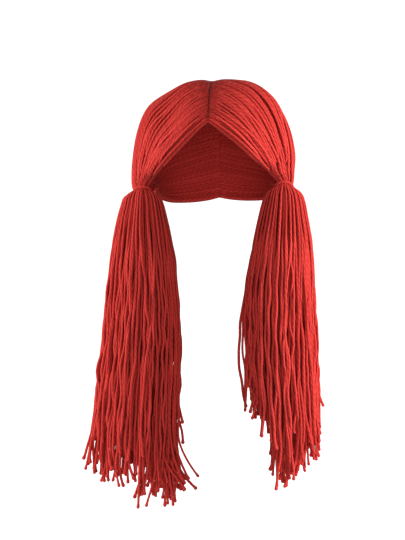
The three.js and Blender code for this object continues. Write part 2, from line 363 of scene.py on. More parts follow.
def painted_shade_between_strands(points, corners, faces, vertices):
    """How much of the outside other strands hide from each corner, for painted shade: 0 lies free, 1 is
    buried.
    """
    solid = BVHTree.FromPolygons(vertices.tolist(), faces)
    straight = unit(corners - points[:, :, None])
    sideways = np.cross(unit(np.gradient(points, axis=1))[:, :, None], straight)
    starts = (corners + LOOK_LIFT * straight).reshape(-1, 3).tolist()
    hidden = np.zeros(len(starts))
    for degrees in LOOK_DEG:
        angle = math.radians(degrees)
        looks = (straight * math.cos(angle) + sideways * math.sin(angle)).reshape(-1, 3).tolist()
        far = [solid.ray_cast(place, look, LOOK_FAR)[3] for place, look in zip(starts, looks)]
        far = np.array([LOOK_FAR if gap is None else gap for gap in far])
        hidden += math.cos(angle) * (1 - (far / LOOK_FAR) ** 2)
    hidden /= sum(math.cos(math.radians(degrees)) for degrees in LOOK_DEG)
    return eased(hidden, *PAINTED_SHADE_RAMP).reshape(len(points), -1)

# %% [markdown]
# ## One mesh for all strands of a piece
#
# A tube needs faces round its side and a cap at each end. Their corner numbers repeat from strand to
# strand, so they are worked out once and shifted. The flat map has one upright strip for each strand:
# an automatic unwrap would cut thousands of small islands.

# %% Join strands into one mesh
STRIP = {"width": 0.92, "height": 0.99, "foot": 0.005, "cap": 0.002}

def strand_faces(strands, steps, sides):
    """Corner numbers of the faces along the strands, then of the caps at both ends."""
    step, side = np.meshgrid(np.arange(steps - 1), np.arange(sides), indexing="ij")
    after = (side + 1) % sides
    low, high = step * sides, (step + 1) * sides
    quads = np.stack([low + side, low + after, high + after, high + side], axis=-1).reshape(-1, 4)
    k = np.arange(sides)
    last = (steps - 1) * sides
    caps = np.concatenate([
        np.stack([(k + 1) % sides, k, np.full(sides, steps * sides)], axis=-1),
        np.stack([last + k, last + (k + 1) % sides, np.full(sides, steps * sides + 1)], axis=-1),
    ])
    offsets = np.arange(strands)[:, None, None] * (steps * sides + 2)
    return (quads + offsets).reshape(-1, 4).tolist() + (caps + offsets).reshape(-1, 3).tolist()

def strand_map(walked, sides):
    """The flat map, in the order of the faces' corners."""
    strands, steps = walked.shape
    left = np.arange(strands)[:, None, None] / strands
    width = STRIP["width"] / strands
    height = walked / walked.max()
    step, side = np.meshgrid(np.arange(steps - 1), np.arange(sides), indexing="ij")
    quad_u = np.stack([side, side + 1, side + 1, side], axis=-1).reshape(-1, 4) / sides
    low, high = height[:, step], height[:, step + 1]
    quad_v = np.stack([low, low, high, high], axis=-1).reshape(strands, -1, 4)
    k = np.arange(sides)
    cap_u = np.stack([[k + 1, k, k + 0.5], [k, k + 1, k + 0.5]]).swapaxes(1, 2).reshape(-1, 3) / sides
    first, last = height[:, 0], height[:, -1]
    tips = np.array([[first, first, first - STRIP["cap"]], [last, last, last + STRIP["cap"]]])
    cap_v = np.moveaxis(tips, -1, 0).repeat(sides, axis=1)
    placed = [np.stack([left + u * width, v * STRIP["height"] + STRIP["foot"]], axis=-1).reshape(-1, 2)
              for u, v in ((quad_u, quad_v), (cap_u, cap_v))]
    return np.concatenate(placed).astype(np.float32)

def strand_piece(name, points, outward, radii, tones, sides, material):
    """One object from strands in millimetres: (strand, step, xyz) points and (strand, step) radii."""
    strands, steps = radii.shape
    turns = np.arange(sides) * 2 * math.pi / sides
    cosines, sines = np.cos(turns), np.sin(turns)
    across, beside = strand_frames(points, outward)
    ring = across[:, :, None] * cosines[:, None] + beside[:, :, None] * sines[:, None]
    corners = points[:, :, None] + ring * radii[:, :, None, None]
    ends = points[:, [0, -1]]
    vertices = np.concatenate([corners.reshape(strands, -1, 3), ends], axis=1).reshape(-1, 3)
    faces = strand_faces(strands, steps, sides)
    mesh = bpy.data.meshes.new(name)
    mesh.from_pydata((vertices * MM).tolist(), [], faces)
    mesh.polygons.foreach_set("use_smooth", np.ones(len(faces), dtype=bool))

    round_count = steps * sides
    walked = lengths_along(points) * MM
    place = np.zeros((strands, round_count + 2, 3), dtype=np.float32)
    place[:, :round_count, 0] = np.tile(cosines, steps)
    place[:, :round_count, 1] = np.tile(sines, steps)
    place[:, :round_count, 2] = np.repeat(walked, sides, axis=1)
    place[:, -1, 2] = walked[:, -1]
    tone = np.repeat(tones, round_count + 2).astype(np.float32)
    # Painted shade: how much other strands hide each corner.
    crowded = np.zeros((strands, round_count + 2), dtype=np.float32)
    crowded[:, :round_count] = painted_shade_between_strands(points, corners, faces, vertices)
    mesh.attributes.new("strand_place", "FLOAT_VECTOR", "POINT").data.foreach_set("vector", place.ravel())
    mesh.attributes.new("strand_tone_and_shade", "FLOAT", "POINT").data.foreach_set("value", tone)
    mesh.attributes.new("strand_painted_shade", "FLOAT", "POINT").data.foreach_set("value", crowded.ravel())
    mesh.uv_layers.new(name="OFBake").data.foreach_set("uv", strand_map(walked, sides).ravel())
    mesh.materials.append(material)
    piece = bpy.data.objects.new(name, mesh)
    scene.collection.objects.link(piece)
    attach(piece, "root")
    print(name, strands, "strands,", 2 * strands * round_count, "triangles")
    return piece

# %% [markdown]
# ## The dome that the strands lie on
#
# The strands need the same dome as the measured parts: rounded, a little flat on top, drawn into a
# neck above each tie. A place on one half is given by two shares: where along the part the strand
# starts, from forehead to nape, and how far along the strand the place is. Sizes are millimetres,
# and 1 stands for the wearer's left side, -1 for the right.

# %% Describe the dome
WALL = 7.0
THICKENING = 2.0
DOME = {"half_width": 100.0, "front": 100.0, "back": 104.0, "rise": 108.0, "drop": 78.0,
        "plan_power": 2.1, "rise_power": 2.5, "drop_power": 2.0}
MIDDLE = np.array([0.0, 0.0, WALL - DOME["rise"]])
PART_DEG = (27.2, 196.0)
SEAM = {"diameter": 1.2, "dip": 2.4, "beside": 0.5, "valley": 0.08, "from": 0.03, "opens": 0.3}
SAG = {1: 0.10, -1: 0.13, "reach": 0.45}
DENTS = [
    # side, place along the part, place along the strand, depth, reach along both
    (-1, 0.00, 0.72, 9.0, 0.16, 0.30),
    (-1, 0.30, 0.33, 4.2, 0.30, 0.13),
    (-1, 0.35, 0.58, -1.6, 0.30, 0.12),
    (-1, 0.15, 0.50, 2.4, 0.05, 0.30),
    (-1, 0.40, 0.62, 2.4, 0.05, 0.25),
    (1, 0.00, 0.72, 9.0, 0.16, 0.30),
    (1, 0.17, 0.45, 2.4, 0.05, 0.30),
    (1, 0.44, 0.45, 2.4, 0.05, 0.20),
    (1, 0.30, 0.30, -2.4, 0.22, 0.13),
    (1, 0.45, 0.78, -1.8, 0.30, 0.22),
]

def dome_radius(direction):
    """Distance from the middle to the dome along unit directions."""
    x, y, z = np.moveaxis(direction, -1, 0)
    depth = np.where(y < 0, DOME["front"], DOME["back"])
    height = np.where(z > 0, DOME["rise"], DOME["drop"])
    power = np.where(z > 0, DOME["rise_power"], DOME["drop_power"])
    plan = np.abs(x / DOME["half_width"]) ** DOME["plan_power"] + np.abs(y / depth) ** DOME["plan_power"]
    return (plan ** (power / DOME["plan_power"]) + np.abs(z / height) ** power) ** (-1 / power)

def part_direction(share):
    """From the middle to a place on the part, from forehead to nape."""
    angle = np.radians(PART_DEG[0] + (PART_DEG[1] - PART_DEG[0]) * share)
    return np.stack([np.zeros_like(angle), -np.cos(angle), np.sin(angle)], axis=-1)

def dented(radius, side, part, along):
    """The dome's radius with the hollows and swells that the yarn has settled into."""
    for dent_side, at_part, at_along, depth, part_reach, along_reach in DENTS:
        if dent_side == side:
            radius = radius - depth * np.exp(
                -((part - at_part) / part_reach) ** 2 - ((along - at_along) / along_reach) ** 2)
    return radius

print("dome top at", MIDDLE[2] + DOME["rise"], "mm")

# %% [markdown]
# ## Paths over the dome
#
# A real strand takes nearly the shortest way from the part to the tie. It sags a little at the
# forehead, leaves the dome before the ear and bends down into the tie. Curves pressed onto a mesh by a
# modifier would lose their order. A formula keeps it: shortest ways over a ball, stretched to the dome
# and drawn together through a few sections above the tie.

# %% Gather strands above a tie
NECK = {"x": 85.0, "y": -20.0, "radius": 9.0, 1: -121.8, -1: -126.3}
TIP = {"slope": 0.62, "sink": 2.6, "reach_up": 10.0, "reach_out": 22.0}
ARC_DEG = 120.0
GATHER = [
    # above the tie, middle x and y, half width, half depth, flat side from the middle, half its length
    (13.0, 79.0, -18.0, 18.5, 27.0, 10.0, 10.0),
    (8.0, 82.0, -19.0, 15.5, 20.0, 8.5, 7.5),
    (4.5, 84.0, -19.5, 12.9, 15.0, 7.5, 5.5),
    (2.4, 84.7, -20.0, 11.0, 12.0, 7.0, 4.0),
    (1.2, 85.0, -20.0, 9.3, 9.8, 6.5, 3.0),
    (-1.8, 85.0, -20.0, 9.0, 9.0, 6.5, 3.0),
]
FROM_NAPE = {"drop": 0.6, "over": 1.8, "from": 0.5}

def gather_walls(side, part, row):
    """Outer and inner points of the wall where it passes one row of the gather."""
    up, x, y, wide, deep, flat, flat_half = row
    angle = np.radians(ARC_DEG * (2 * part - 1))
    lowered = FROM_NAPE["drop"] * eased(part, FROM_NAPE["from"], 1.0)
    height = NECK[side] + up - lowered * max(up - FROM_NAPE["over"], 0)
    outer = np.stack([side * (x + wide * np.cos(angle)), y + deep * np.sin(angle), height], axis=-1)
    flat_x = np.full_like(part, side * (x - flat))
    inner = np.stack([flat_x, y + flat_half * (2 * part - 1), height], axis=-1)
    return outer, inner

def tilted(points, side):
    """The same points with the neck tipped, so that its front stands higher than its back."""
    away = np.hypot(points[..., 0] - side * NECK["x"], points[..., 1] - NECK["y"])
    near = np.exp(-((points[..., 2] - NECK[side]) / TIP["reach_up"]) ** 2 - (away / TIP["reach_out"]) ** 2)
    tipped = points.copy()
    tipped[..., 2] += (TIP["slope"] * (NECK["y"] - points[..., 1]) - TIP["sink"]) * near
    return tipped

print("ties at", NECK[1], NECK[-1], "mm")

# %% Follow strands over the dome
GATHER_FROM = 0.45
BEND_FROM = 0.72
BEND_STEP = 0.01
DEEPEST = 0.92

def drawn_walls(side, part, along, meet):
    """Outer and inner points of the wall on the dome. Strands that meet start right at the middle."""
    mouth_outer, mouth_inner = gather_walls(side, part, GATHER[0])
    sewn = eased(part, SEAM["opens"] * SEAM["from"], SEAM["from"])
    start = part_direction(part)
    start = start * dome_radius(start)[..., None]
    start[..., 0] = side * SEAM["beside"] * sewn * (0.0 if meet else 1.0)
    start = unit(start)
    end = unit(mouth_outer - MIDDLE)
    whole = np.arccos(np.clip(np.sum(start * end, axis=-1), -1, 1))[..., None]
    share = along[..., None]
    direction = unit(start * np.sin((1 - share) * whole) + end * np.sin(share * whole))
    direction[..., 2] -= SAG[side] * (1 - eased(part, 0, SAG["reach"])) * np.sin(np.pi * along)
    direction = unit(direction)
    radius = dented(dome_radius(direction), side, part, along)
    valley = SEAM["dip"] * sewn * (1 - eased(along, 0, SEAM["valley"]))
    drawn_in = eased(along, GATHER_FROM, 1)[..., None]
    outer = MIDDLE + direction * (radius - valley)[..., None]
    inner = MIDDLE + direction * (radius - WALL - THICKENING * along)[..., None]
    return outer + (mouth_outer - outer) * drawn_in, inner + (mouth_inner - inner) * drawn_in

def bent(before, start, end, after, share):
    """A smooth bend between two places, in line with the places around them."""
    reach = np.linalg.norm(end - start, axis=-1, keepdims=True)
    leaving = unit(start - before) * reach
    arriving = unit(after - end) * reach
    share = share[..., None]
    rest = 1 - share
    return (rest ** 2 * ((1 + 2 * share) * start + share * leaving)
            + share ** 2 * ((3 - 2 * share) * end - rest * arriving))

def dome_walls(side, part, along, meet):
    """The drawn walls, bent down at last into the mouth of the gather."""
    walls = drawn_walls(side, part, along, meet)
    before = drawn_walls(side, part, np.full_like(along, BEND_FROM - BEND_STEP), meet)
    start = drawn_walls(side, part, np.full_like(along, BEND_FROM), meet)
    end = gather_walls(side, part, GATHER[0])
    after = gather_walls(side, part, GATHER[1])
    share = np.clip((along - BEND_FROM) / (1 - BEND_FROM), 0, 1)
    past = (along > BEND_FROM)[..., None]
    return [np.where(past, bent(*places, share), wall)
            for wall, *places in zip(walls, before, start, end, after)]

def crown_strands(side, part, depth, meet=False):
    """Paths over the dome and down the neck: part is (strand, step), depth is below the outside."""
    steps = part.shape[1] - len(GATHER)
    along = np.broadcast_to(np.arange(steps) / steps, (len(part), steps))
    outer, inner = dome_walls(side, part[:, :steps], along, meet)
    for number, row in enumerate(GATHER):
        row_outer, row_inner = gather_walls(side, part[:, steps + number], row)
        outer = np.concatenate([outer, row_outer[:, None]], axis=1)
        inner = np.concatenate([inner, row_inner[:, None]], axis=1)
    wall = inner - outer
    share = np.minimum(depth / np.linalg.norm(wall, axis=2), DEEPEST)
    return tilted(outer + wall * share[..., None], side)

# %% [markdown]
# ## The crown
#
# At the part the strands lie in one row, pressed thin by the seam. Towards the ears the fan grows
# narrower, so there is no room for all of them on the outside, and one after another slips under its
# neighbours. Each strand gets a rank that says how soon. Ranks go up in steps of the golden ratio, so
# the strands that stay outside are always evenly spaced: ranks by chance would leave bald places.

# %% Find room on the outside
CROWN_STEPS = 60
OVER_ROW = 168
STRAND_RADIUS = 1.55
PITCH = {"seam": 1.6, "fan": 4.3, "grows": (0.02, 0.16)}
FAN_RIBS = 90
HELD_FROM = CROWN_STEPS - 2

def room_outside(side, part, share):
    """Share of the strands that find room on the outside at each place."""
    ribs = np.linspace(0, 1, FAN_RIBS)
    fan = crown_strands(side, ribs[:, None] + 0 * share, np.full((FAN_RIBS, len(share)), STRAND_RADIUS))
    width = np.linalg.norm(np.diff(fan, axis=0), axis=2) * (FAN_RIBS - 1)
    between = (ribs[1:] + ribs[:-1]) / 2
    width = np.stack([np.interp(part, between, column) for column in width.T], axis=1)
    pitch = PITCH["seam"] + (PITCH["fan"] - PITCH["seam"]) * eased(share, *PITCH["grows"])
    room = np.minimum(width / (pitch * OVER_ROW), 1.0)
    room[:, HELD_FROM:] = room[:, HELD_FROM, None]
    return room

# %% Choose where the outer strands lie
GOLDEN = (math.sqrt(5) - 1) / 2
LAYER = 2.7
EDGE_ROOM = 0.02
OVER = {"depth": 1.35, "jitter": 0.25, "rank_jitter": 0.06, "drift": 0.0025, "drift_waves": (1, 3)}
LOCKS = {"count": 26, "jitter": 0.35, "pull": 0.2, "pulls": (0.12, 0.5)}
UNEVEN = {"lock": 0.8, "strand": 0.35, "grows": (0.05, 0.28)}
SINK = {"over": 0.3, "layers": 0.9, "more": 1.0, "grows": (0.6, 0.92), "crowd": 0.5}
BUNCH = {"middle": 0.5, "pull": 0.5, "layers": (1, 4), "grows": (0.6, 1.0)}
NAPE_EDGE = {"count": 4, "sinks": (0.45, 0.75)}

def leaning(part, rng):
    """How far each strand lies from the middle of its lock, and how high the lock lies."""
    count = LOCKS["count"]
    moved = rng.uniform(-LOCKS["jitter"], LOCKS["jitter"], count - 1)
    edges = np.concatenate([[0.0], (np.arange(1, count) + moved) / count, [1.0]])
    lock = np.clip(np.searchsorted(edges, part, side="right") - 1, 0, count - 1)
    middle = (edges[lock] + edges[lock + 1]) / 2
    return middle - part, rng.uniform(-1.0, 1.0, count)[lock]

def over_row(side, share, rng):
    """Places along the part and depths of the strands that make the outside."""
    count = np.arange(OVER_ROW)
    spaced = count + 0.5 + rng.uniform(-OVER["jitter"], OVER["jitter"], OVER_ROW)
    part = EDGE_ROOM + (1 - EDGE_ROOM) * spaced / OVER_ROW
    rank = (count * GOLDEN + rng.uniform(-OVER["rank_jitter"], OVER["rank_jitter"], OVER_ROW)) % 1
    lean, lift = leaning(part, rng)
    drift = rng.normal(0, OVER["drift"], (OVER_ROW, 1))
    drift = drift * np.sin(np.pi * share * rng.uniform(*OVER["drift_waves"], (OVER_ROW, 1)))
    places = part[:, None] + lean[:, None] * LOCKS["pull"] * eased(share, *LOCKS["pulls"]) + drift

    room = room_outside(side, part, share)
    ranks = np.repeat(rank[:, None], len(share), axis=1)
    ranks[-NAPE_EDGE["count"]:] *= eased(share, *NAPE_EDGE["sinks"])
    crowded = ranks - room
    sunk = SINK["layers"] + SINK["more"] * eased(share, *SINK["grows"])
    sunk = sunk + SINK["crowd"] * np.maximum(crowded, 0) / room
    layers = eased(crowded / room, 0, SINK["over"]) * sunk
    inward = (BUNCH["middle"] - places) * BUNCH["pull"]
    places += inward * eased(layers, *BUNCH["layers"]) * eased(share, *BUNCH["grows"])
    uneven = UNEVEN["lock"] * lift[:, None] + rng.normal(0, UNEVEN["strand"], (OVER_ROW, 1))
    return places, OVER["depth"] + LAYER * layers - uneven * eased(share, *UNEVEN["grows"])

# %% [markdown]
# ## The row beneath, the edge and strays
#
# The edge at the face is soft and rounded. The inside isn't seen in the picture, and a smooth lining
# there would show through the gaps between outer strands. So a plain second row lies beneath, three
# strands finish the edge, and a few stray across the others.

# %% Choose where the other strands lie
UNDER_ROW = 126
UNDER = {"jitter": 0.06, "drift": 0.0007, "depth": 3.0, "spread": 0.8, "sinks": 3.6, "over": (0.0, 0.2),
         "gathers": (0.55, 1.0), "tie_sinks": 1.5, "tie_over": (0.85, 1.0)}
# The edge strands get a low tone: painted shade that keeps the edge round the face darker.
EDGE = {"parts": (0.008, 0.006, 0.006), "depths": (1.6, 4.2, 6.6), "pressed": 0.2, "tone": 0.1}
STRAYS = {"count": 7, "starts": (0.05, 0.6), "shifts": (0.02, 0.05), "over": (0.1, 0.9),
          "depth": 1.3, "rise": 1.1}

def under_row(share, rng):
    """The plain row beneath, which shows from inside."""
    jitter = rng.uniform(-UNDER["jitter"], UNDER["jitter"], UNDER_ROW)
    part = (np.arange(UNDER_ROW) + 0.5 + jitter) / UNDER_ROW
    places = part[:, None] + rng.normal(0, UNDER["drift"], (UNDER_ROW, 1)) * np.sin(np.pi * share)
    places += (BUNCH["middle"] - places) * BUNCH["pull"] * eased(share, *UNDER["gathers"])
    depths = UNDER["depth"] + UNDER["sinks"] * eased(share, *UNDER["over"])
    depths = depths + rng.uniform(0, UNDER["spread"], (UNDER_ROW, 1))
    return places, depths + UNDER["tie_sinks"] * eased(share, *UNDER["tie_over"])

def edge_and_strays(share, rng):
    """Three strands that finish the edge round the face, and a few that stray across the others."""
    edge = np.array(EDGE["parts"])[:, None] + 0 * share
    edge_depth = np.array(EDGE["depths"])[:, None] + 0 * share
    size = (STRAYS["count"], 1)
    begin = rng.uniform(*STRAYS["starts"], size)
    shift = rng.choice([-1, 1], size) * rng.uniform(*STRAYS["shifts"], size)
    stray = begin + shift * eased(share, *STRAYS["over"])
    stray_depth = STRAYS["depth"] - STRAYS["rise"] * np.sin(np.pi * share) + 0 * stray
    return np.concatenate([edge, stray]), np.concatenate([edge_depth, stray_depth])

# %% [markdown]
# ## Laying the crown
#
# With places and depths known, each half becomes one piece. Its strands are thinner at the seam, which
# presses them, and just above the tie, which squeezes them. One object for each strand would be easier
# to pick, but three hundred are slow to light and to export.

# %% Lay the crown's strands
CROWN_CUTS = ((20.0, 6), 25, (32.0, 14))
GIRTH = {"whole": 1.1, "spread": 0.06, "seam": 0.32, "seam_reach": (2, 34), "inside": -0.08,
         "tie": 0.34, "tie_reach": (2, 24)}
FOREMOST = -0.002
TURNS_TO_NECK = (8, 40)
CROWN_SIDES = 6

def lay_crown(name, side, seed):
    """All strands of one half of the crown, as one piece."""
    rng = np.random.default_rng(seed)
    share = np.minimum(np.arange(CROWN_STEPS + len(GATHER)) / CROWN_STEPS, 1.0)
    over, over_depth = over_row(side, share, rng)
    loose, loose_depth = edge_and_strays(share, rng)
    under, under_depth = under_row(share, rng)
    outer = np.clip(np.concatenate([over, loose]), FOREMOST, 1.0)
    outside = crown_strands(side, outer, np.concatenate([over_depth, loose_depth]))
    inside = crown_strands(side, np.clip(under, 0.0, 1.0), under_depth, meet=True)
    points = in_steps(np.concatenate([outside, inside]), *CROWN_CUTS)
    walked = lengths_along(points)
    to_tie = walked[:, -1:] - walked
    edge = slice(OVER_ROW, OVER_ROW + len(EDGE["parts"]))
    pressed = GIRTH["seam"] * (1 - eased(walked, *GIRTH["seam_reach"]))
    pressed[len(outside):] = GIRTH["inside"]
    pressed[edge] = EDGE["pressed"]
    girth = 1.0 - pressed - GIRTH["tie"] * (1 - eased(to_tie, *GIRTH["tie_reach"]))
    radii = GIRTH["whole"] * STRAND_RADIUS * girth
    radii = radii * rng.normal(1, GIRTH["spread"], (len(points), 1))
    neck = points * np.array([0.0, 0.0, 1.0]) + np.array([side * NECK["x"], NECK["y"], 0.0])
    outward = points - MIDDLE - (neck - MIDDLE) * (1 - eased(to_tie, *TURNS_TO_NECK))[..., None]
    outward[len(outside):] *= -1
    tones = rng.uniform(0, 1, len(points))
    # Painted shade: the edge strands are darker.
    tones[edge] = EDGE["tone"]
    return strand_piece(name, points, outward, radii, tones, CROWN_SIDES, red_yarn)

for which, side, seed in (("left", 1, 11), ("right", -1, 23)):
    crown = lay_crown(f"crown_{which}_strands", side, seed)
    lit_by[f"lamp_{which}"].objects.link(crown)
    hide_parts(f"crown_{which}")

# %% [markdown]
# ## The part seam
#
# A seam along the part holds both halves. It shows only as a thin dark line in a shallow valley, and
# stops a little short of the forehead, where strands of both sides meet over it. A flat dark strip
# would do from far away, but two threads that wind round each other still look sewn from close by.

# %% Sew the part
THREAD = {"radius": 0.3, "out": 0.27, "turn": 6.4, "points": 420, "sides": 6, "tones": (0.35, 0.6)}

def sew_part():
    """Two twisted threads in the valley."""
    share = np.linspace(SEAM["from"], 1, THREAD["points"])
    outward = part_direction(share)
    below = SEAM["dip"] + SEAM["diameter"] / 2
    middle = MIDDLE + outward * (dome_radius(outward) - below)[:, None]
    length = lengths_along(middle[None])[0]
    threads = []
    for start in (0.0, math.pi):
        angle = (2 * math.pi * length / THREAD["turn"] + start)[:, None]
        around = np.cos(angle) * np.array([1.0, 0.0, 0.0]) + np.sin(angle) * outward
        threads.append(middle + THREAD["out"] * around)
    threads = np.array(threads)
    facing = np.broadcast_to(outward, threads.shape)
    radii = np.full(threads.shape[:2], THREAD["radius"])
    tones = np.array(THREAD["tones"])
    return strand_piece("part_seam_threads", threads, facing, radii, tones, THREAD["sides"], seam_thread)

seam = sew_part()
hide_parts("part_seam")

# %% [markdown]
# ## The ties
#
# Each tie is a length of the same yarn, pulled so tight round the neck that it sinks into a crease
# between crown and pigtail, with its ends out of sight. A plain ring would look moulded. It is the one
# strand seen straight from the side, so its three plies are real tubes that wind round each other.

# %% Wind the ties
TIE = {"turns": 1.25, "start": math.pi / 4, "tucked": 2.0, "stands": 3.8, "climb": 1.2, "points": 170,
       "end_share": 0.1}
PLY = {"count": 3, "radius": 0.72, "out": 0.76, "turn": 8.0, "sides": 7, "tones": (0.6, 1.0)}

def wind_tie(name, side, seed):
    """Three plies that wind round the middle line of a tight turn."""
    rng = np.random.default_rng(seed)
    share = np.linspace(0, 1, TIE["points"])
    angle = 2 * math.pi * TIE["turns"] * share + TIE["start"]
    showing = eased(share, 0.0, TIE["end_share"]) * (1 - eased(share, 1 - TIE["end_share"], 1.0))
    radius = NECK["radius"] - TIE["tucked"] + TIE["stands"] * showing
    x = side * NECK["x"] + radius * np.cos(angle)
    y = NECK["y"] + radius * np.sin(angle)
    line = tilted(np.stack([x, y, NECK[side] + TIE["climb"] * (2 * share - 1)], axis=-1), side)
    away = line - np.array([side * NECK["x"], NECK["y"], NECK[side]])
    across, beside = strand_frames(line[None], away[None])
    length = lengths_along(line[None])[0]
    plies = []
    for number in range(PLY["count"]):
        turned = (2 * math.pi * (length / PLY["turn"] + number / PLY["count"]))[:, None]
        around = np.cos(turned) * across[0] + np.sin(turned) * beside[0]
        plies.append(line + PLY["out"] * around)
    plies = np.array(plies)
    facing = np.broadcast_to(away, plies.shape)
    radii = np.full(plies.shape[:2], PLY["radius"])
    tones = rng.uniform(*PLY["tones"], PLY["count"])
    return strand_piece(name, plies, facing, radii, tones, PLY["sides"], red_yarn)

for which, side, seed in (("left", 1, 41), ("right", -1, 47)):
    tie = wind_tie(f"tie_{which}_yarn", side, seed)
    lit_by[f"lamp_{which}"].objects.link(tie)
    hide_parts(f"tie_{which}")

# %% [markdown]
# ## The pigtails
#
# Below its tie a pigtail opens like a tassel: strands leave the crease almost level, bend over a round
# shoulder and hang. A sculpted bunch would look solid. Here a table gives its width and depth at each
# height, strands sit in rings, and every other one comes outside only below the shoulder.

# %% Describe the pigtails
SECTIONS = {
    # below the tie, middle outwards, middle y, half width, half depth
    "left": [
        (-2, 85, -20, 6, 6.5), (0.2, 85, -20, 6.5, 7), (2.2, 85, -19.5, 12, 11),
        (5.5, 85, -18, 18, 15), (11, 85, -16, 23, 19), (19, 85, -14, 26, 22.5),
        (36, 84.5, -13, 30, 26), (58, 84, -13, 34.5, 29), (91, 82.5, -13, 39, 32),
        (144, 81, -14, 42, 34), (203, 82, -15, 44, 35), (261, 85.5, -16, 43.5, 34),
        (306, 87, -16, 43, 33), (370, 87, -16, 42, 32),
    ],
    "right": [
        (-2, 85, -20, 6, 6.5), (0.2, 85, -20, 6.5, 7), (2.2, 85, -19.5, 12.3, 11),
        (5.5, 85.5, -18, 19, 15.5), (10, 85.8, -16, 23.5, 19), (16.5, 85.8, -14, 26, 21.5),
        (31.5, 86.2, -13, 30.2, 25), (53.5, 86.2, -13, 34.8, 28), (86.5, 86.2, -13, 39.8, 31),
        (139.5, 86.2, -14, 45.3, 34), (198.5, 88.8, -15, 49.4, 36), (256.5, 92.5, -16, 51.8, 38),
        (311.5, 95, -16, 54, 39), (385, 96, -16, 55, 38),
    ],
}
RINGS = [
    # strands, how far out they sit, and how far out every other one sits on the shoulder
    (74, 0.97, 0.80), (62, 0.80, 0.62), (52, 0.60, 0.46), (28, 0.36, 0.28), (10, 0.14, 0.12),
]
SEATS = {"angle": 0.3, "on_top": (0, 0.06), "further": (-0.02, 0.06)}

def smooth_column(rows, column, below):
    """One column of a section table at any depth, along a curve with no corners."""
    depths = np.array([row[0] for row in rows])
    values = np.array([row[column] for row in rows])
    slopes = np.gradient(values, depths)
    where = np.clip(np.searchsorted(depths, below, side="right") - 1, 0, len(rows) - 2)
    gap = depths[where + 1] - depths[where]
    t = np.clip((below - depths[where]) / gap, 0, 1)
    return ((2 * t ** 3 - 3 * t ** 2 + 1) * values[where] + (t ** 3 - 2 * t ** 2 + t) * gap * slopes[where]
            + (3 * t ** 2 - 2 * t ** 3) * values[where + 1] + (t ** 3 - t ** 2) * gap * slopes[where + 1])

def ring_seats(rng):
    """Angle of each strand round the pigtail and its distance out, on the shoulder and below it."""
    angles, on_top, further = [], [], []
    for count, out, tucked in RINGS:
        number = np.arange(count)
        jitter = rng.uniform(-SEATS["angle"], SEATS["angle"], count)
        angles.append((number + 0.5 + jitter) * 2 * math.pi / count)
        on_top.append(np.where(number % 2 == 1, tucked, out) - rng.uniform(*SEATS["on_top"], count))
        further.append(out - rng.uniform(*SEATS["further"], count))
    return np.concatenate(angles), np.concatenate(on_top), np.concatenate(further)

# %% [markdown]
# ## The cut ends
#
# The ends look cut by hand. The cut line rises and falls across each pigtail, neighbours differ by
# a finger's width, and a few strands are much shorter. Hair tools trim a tassel to one line, so here
# each strand has a cut of its own. Some inner ends stick out, and two strands hang apart.

# %% Cut the strands
CUTS = {
    # place across the pigtail, from -1 at the inner side to 1 at the outer, and the cut below the tie
    "left": [(-1, 257), (-0.8, 267), (-0.62, 280), (-0.44, 298), (-0.36, 340), (-0.15, 354),
             (0.2, 348), (0.57, 333), (0.86, 312), (1, 300)],
    "right": [(-1, 362), (-0.75, 375), (-0.45, 371), (-0.2, 354), (0, 349), (0.4, 346),
              (0.7, 343), (1, 334)],
}
TRIM = {"longest": 8.0, "shape": 1.2, "scale": 13.0, "short_share": 0.07, "short": (0.74, 0.94)}
CORE = {"within": 0.7, "shorter": (8, 60)}
APART = {
    # strands that hang apart at the inner side: how far apart, and the cut below the tie
    "left": [(8.5, 268.0), (4.0, 272.0)],
    "right": [],
}
KICKED = {
    # how many ends at the inner side stick out inwards, and how far at most
    "left": (3, 9.0),
    "right": (15, 27.0),
}
KICK = {"inside": -0.5, "shares": (0.3, 1.0), "shortens": 0.75}

def cut_lengths(which, across, rng):
    """How far below the tie each strand is cut: a few are much shorter."""
    count = len(across)
    line = np.interp(across, *np.array(CUTS[which]).T) + TRIM["longest"]
    cut = line - rng.gamma(TRIM["shape"], TRIM["scale"], count)
    short = rng.random(count) < TRIM["short_share"]
    return np.where(short, cut * rng.uniform(*TRIM["short"], count), cut)

def cut_tail(which, across, further, rng):
    """Where each strand is cut, how far it hangs apart, and how far its end sticks out inwards."""
    count = len(across)
    cut = cut_lengths(which, across, rng)
    cut -= np.where(further < CORE["within"], rng.uniform(*CORE["shorter"], count), 0)
    apart = np.zeros(count)
    for number, (distance, length) in enumerate(APART[which]):
        strand = np.argsort(across)[2 * number]
        apart[strand] = distance
        cut[strand] = length
    kicked, furthest = KICKED[which]
    kick = np.zeros(count)
    longest = [strand for strand in np.argsort(-cut) if across[strand] < KICK["inside"]][:2 * kicked]
    kick[rng.choice(longest, kicked, replace=False)] = rng.uniform(*KICK["shares"], kicked) * furthest
    return cut - KICK["shortens"] * kick, apart, kick

# %% [markdown]
# ## How the strands hang
#
# Yarn that was wound on a ball never hangs straight. Lower down a strand drifts round the bunch and
# swings in slow waves, and its end turns aside. Hair physics could find such paths, but takes long and
# seldom repeats exactly. Seeded waves always come out the same.

# %% Shape the hanging strands
TAIL_PATH = {"steps": 150, "power": 1.7}
COMES_OUT = (12, 95)
DRIFT = {"share": 0.22, "far": 0.19, "near": 0.045, "grows": (25, 260)}
CROSS = {"spread": 0.04, "grows": (0, 14), "fades": (14, 120)}
HANGS_APART = (90, 200)
WAVES = [
    # shortest and longest wave, and how far it swings
    (70, 150, 1.1), (34, 66, 0.6), (20, 34, 0.2),
]
SWING = {"shape": 1.4, "scale": 0.7, "most": 2.2, "grows": (10, 180)}
END_TURN = {"reach": 54, "power": 1.9, "left": 4.5, "right": 6.5, "most": 10, "y": 4.5, "y_most": 8}

